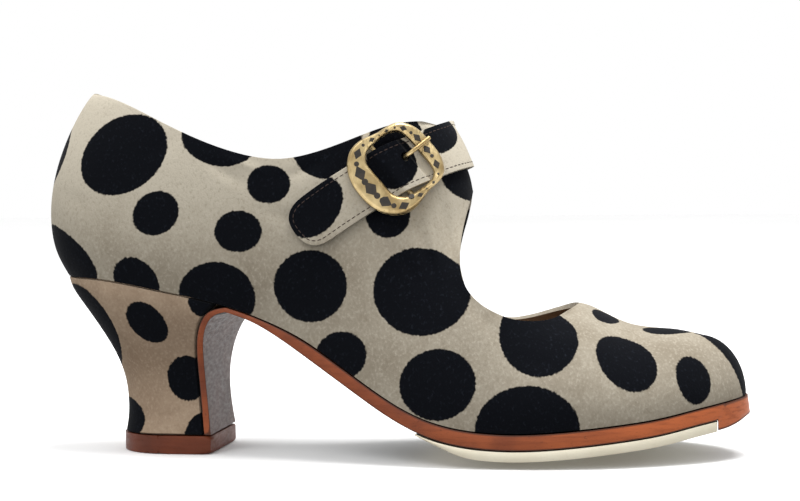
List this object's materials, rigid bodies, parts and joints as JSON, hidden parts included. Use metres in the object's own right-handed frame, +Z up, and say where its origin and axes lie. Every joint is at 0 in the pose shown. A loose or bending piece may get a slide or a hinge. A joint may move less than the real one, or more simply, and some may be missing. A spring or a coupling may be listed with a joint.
{
  "type": "heeled flamenco dance shoe",
  "caption": "Heeled dance shoe for the right foot: suede upper with a low vamp and an instep strap, covered spool heel and leather sole.",
  "frame": {"origin": "middle of the heel's walking face, on the floor", "axes": "+X forward along the foot to the toe, +Y to the inner side of the right foot, +Z up"},
  "size_m": [0.2384, 0.0817, 0.1223],
  "materials": {
    "suede": "napped, with large near-black dots",
    "lining": "smooth, matt",
    "sole_leather": "stained and lightly polished edge",
    "half_sole_rubber": "matt",
    "top_piece_leather": "stained to the colour of the sole edge, a little darker",
    "brass": "antiqued, with a shallow dark ornament"
  },
  "bodies": {
    "root": {"upper": "suede", "insole": "lining", "outsole": "sole_leather", "half_sole": "half_sole_rubber", "heel": "suede", "top_piece": "top_piece_leather", "strap": "suede", "buckle_frame": "brass", "buckle_prong": "brass"}
  },
  "joints": []
}
